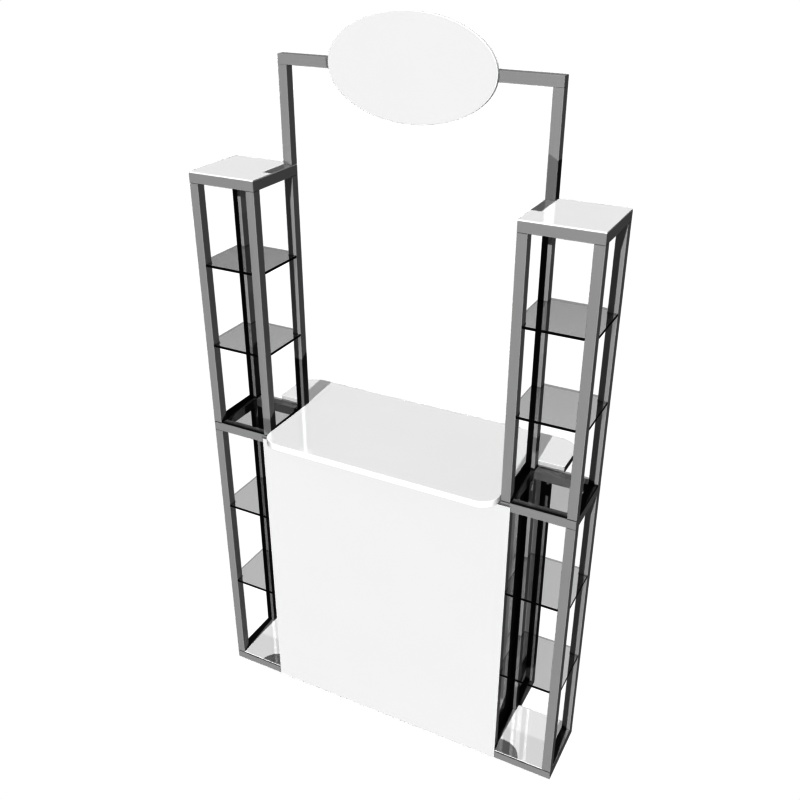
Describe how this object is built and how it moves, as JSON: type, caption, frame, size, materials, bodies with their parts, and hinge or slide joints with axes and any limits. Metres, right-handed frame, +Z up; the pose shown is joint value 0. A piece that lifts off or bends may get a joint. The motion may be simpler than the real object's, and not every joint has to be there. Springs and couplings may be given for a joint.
{
  "type": "double sided salon station",
  "caption": "Salon station: a white counter with a T-shaped worktop between two open towers of smoked glass shelves in square tube, under an arch with a blank oval sign.",
  "frame": {"origin": "on the floor under the middle of the station's box", "axes": "+Z up, the front panel faces -Y, +X to the right of someone who faces the front panel"},
  "size_m": [1.1, 0.4026, 2.0289],
  "materials": {
    "aluminium": "satin anodised",
    "white_laminate": "gloss white laminate",
    "smoked_glass": "smoked, polished",
    "sign_board": "plain white"
  },
  "bodies": {
    "root": {"arch_bar": "aluminium", "base_board": "white_laminate", "front_bottom_rail": "aluminium", "front_panel": "white_laminate", "front_top_rail": "aluminium", "inner_shelf": "white_laminate", "left_arch_post": "aluminium", "left_rear_post": "aluminium", "left_side_bottom_rail": "aluminium", "left_side_panel_front": "white_laminate", "left_side_panel_rear": "white_laminate", "left_side_top_rail": "aluminium", "left_tower_bottom_frame": "aluminium", "left_tower_cap_board": "white_laminate", "left_tower_floor_board": "white_laminate", "left_tower_lower_shelf_1": "smoked_glass", "left_tower_lower_shelf_2": "smoked_glass", "left_tower_lower_upright_front_inner": "aluminium", "left_tower_lower_upright_front_outer": "aluminium", "left_tower_lower_upright_rear_inner": "aluminium", "left_tower_lower_upright_rear_outer": "aluminium", "left_tower_mid_frame": "aluminium", "left_tower_mid_glass": "smoked_glass", "left_tower_top_frame": "aluminium", "left_tower_upper_shelf_1": "smoked_glass", "left_tower_upper_shelf_2": "smoked_glass", "left_tower_upper_upright_front_inner": "aluminium", "left_tower_upper_upright_front_outer": "aluminium", "left_tower_upper_upright_rear_inner": "aluminium", "left_tower_upper_upright_rear_outer": "aluminium", "oval_sign": "sign_board", "rear_bottom_rail": "aluminium", "rear_top_rail": "aluminium", "right_arch_post": "aluminium", "right_rear_post": "aluminium", "right_side_bottom_rail": "aluminium", "right_side_panel_front": "white_laminate", "right_side_panel_rear": "white_laminate", "right_side_top_rail": "aluminium", "right_tower_bottom_frame": "aluminium", "right_tower_cap_board": "white_laminate", "right_tower_floor_board": "white_laminate", "right_tower_lower_shelf_1": "smoked_glass", "right_tower_lower_shelf_2": "smoked_glass", "right_tower_lower_upright_front_inner": "aluminium", "right_tower_lower_upright_front_outer": "aluminium", "right_tower_lower_upright_rear_inner": "aluminium", "right_tower_lower_upright_rear_outer": "aluminium", "right_tower_mid_frame": "aluminium", "right_tower_mid_glass": "smoked_glass", "right_tower_top_frame": "aluminium", "right_tower_upper_shelf_1": "smoked_glass", "right_tower_upper_shelf_2": "smoked_glass", "right_tower_upper_upright_front_inner": "aluminium", "right_tower_upper_upright_front_outer": "aluminium", "right_tower_upper_upright_rear_inner": "aluminium", "right_tower_upper_upright_rear_outer": "aluminium", "worktop": "white_laminate"}
  },
  "joints": []
}
